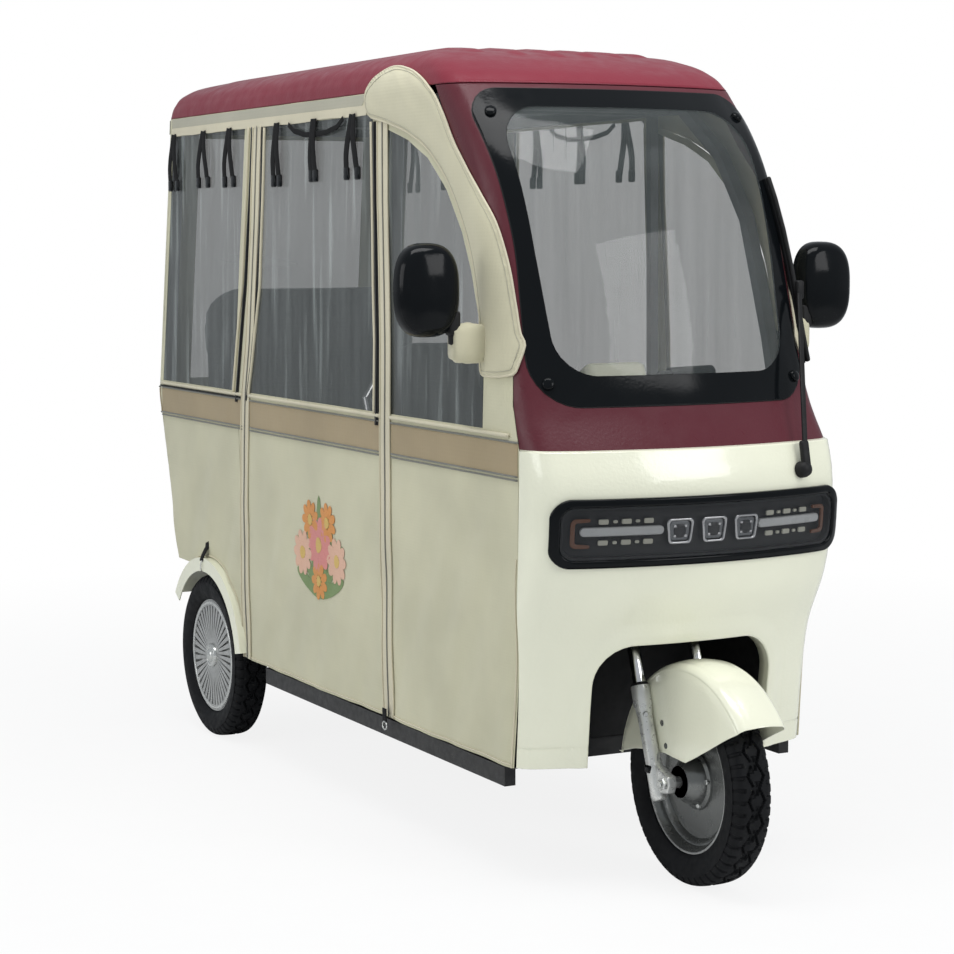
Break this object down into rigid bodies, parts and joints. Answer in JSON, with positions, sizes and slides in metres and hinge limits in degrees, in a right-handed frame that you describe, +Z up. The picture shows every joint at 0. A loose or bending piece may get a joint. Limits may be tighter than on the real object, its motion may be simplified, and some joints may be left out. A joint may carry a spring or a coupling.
{
  "type": "auto rickshaw",
  "caption": "Three-wheeled electric passenger rickshaw with a moulded roof and front, roll-up fabric sides with clear windows, and steered front wheel.",
  "frame": {"origin": "on the floor under the middle of the vehicle's length and width", "axes": "+X to the vehicle's left, front towards -Y, +Y rearwards, +Z up"},
  "size_m": [1.1, 2.5204, 1.746],
  "materials": {
    "frame_black": "satin black paint",
    "tube_grey": "satin grey paint",
    "cream_gloss": "gloss cream",
    "burgundy": "satin burgundy",
    "black_gloss": "gloss black",
    "black_matte": "matte black",
    "glass_clear": "clear",
    "lens_smoke": "smoked",
    "lamp_mix": "chrome and white",
    "mirror_glass": "mirror",
    "curtain_cream": "woven cream cloth",
    "pvc_clear": "clear flexible film",
    "liner_grey": "grey lining",
    "seat_dark": "dark grey coated cloth",
    "floor_black": "ribbed mat",
    "chrome": "bright",
    "alloy": "silver satin",
    "tyre_black": "black",
    "red_lens": "red lens",
    "battery_grey": "plain"
  },
  "bodies": {
    "cab": {"chassis_frame": "frame_black", "cab_frame": "tube_grey", "floor_pan": "floor_black", "front_fairing": "cream_gloss", "wheel_well_liner": "black_matte", "windshield_surround": "burgundy", "windshield_border": "black_gloss", "windshield_glass": "glass_clear", "roof_panel": "burgundy", "headliner": "liner_grey", "lamp_bezel": "black_gloss", "lamp_lens": "lens_smoke", "lamp_units": "lamp_mix", "wiper": "black_matte", "mirror_housings": "black_gloss", "mirror_glasses": "mirror_glass", "curtain_right_front": "curtain_cream", "curtain_right_middle": "curtain_cream", "curtain_right_rear": "curtain_cream", "curtain_left_front": "curtain_cream", "curtain_left_middle": "curtain_cream", "curtain_left_rear": "curtain_cream", "curtain_back": "curtain_cream", "curtain_windows": "pvc_clear", "pillar_flaps": "curtain_cream", "driver_seat_base": "black_matte", "bench_base": "black_matte", "driver_cushion": "seat_dark", "bench_cushion": "seat_dark", "driver_backrest": "seat_dark", "bench_backrest": "seat_dark", "battery_pack": "battery_grey", "handrail": "chrome", "dashboard": "cream_gloss", "rear_mudguards": "cream_gloss", "rear_panel": "black_matte", "tail_lamps": "red_lens", "rear_axle": "frame_black"},
    "steering": {"fork": "alloy", "handlebar": "black_matte", "instrument_pod": "cream_gloss", "front_mudguard": "cream_gloss"},
    "front_wheel": {"front_rim": "alloy", "front_tyre": "tyre_black"},
    "rear_wheel_right": {"rear_rim_right": "alloy", "rear_tyre_right": "tyre_black"},
    "rear_wheel_left": {"rear_rim_left": "alloy", "rear_tyre_left": "tyre_black"}
  },
  "joints": [
    {"name": "steering_turn", "type": "hinge", "parent": "cab", "child": "steering", "pos_m": [0, -0.93447, 0.215], "axis": [0, 0.3355, 0.9421], "range_deg": [-35, 35]},
    {"name": "front_wheel_spin", "type": "hinge", "parent": "steering", "child": "front_wheel", "pos_m": [0, -1.0145, 0.215], "axis": [1, 0, 0], "continuous": true},
    {"name": "rear_wheel_right_spin", "type": "hinge", "parent": "cab", "child": "rear_wheel_right", "pos_m": [-0.32, 0.8355, 0.215], "axis": [1, 0, 0], "continuous": true},
    {"name": "rear_wheel_left_spin", "type": "hinge", "parent": "cab", "child": "rear_wheel_left", "pos_m": [0.32, 0.8355, 0.215], "axis": [1, 0, 0], "continuous": true}
  ]
}
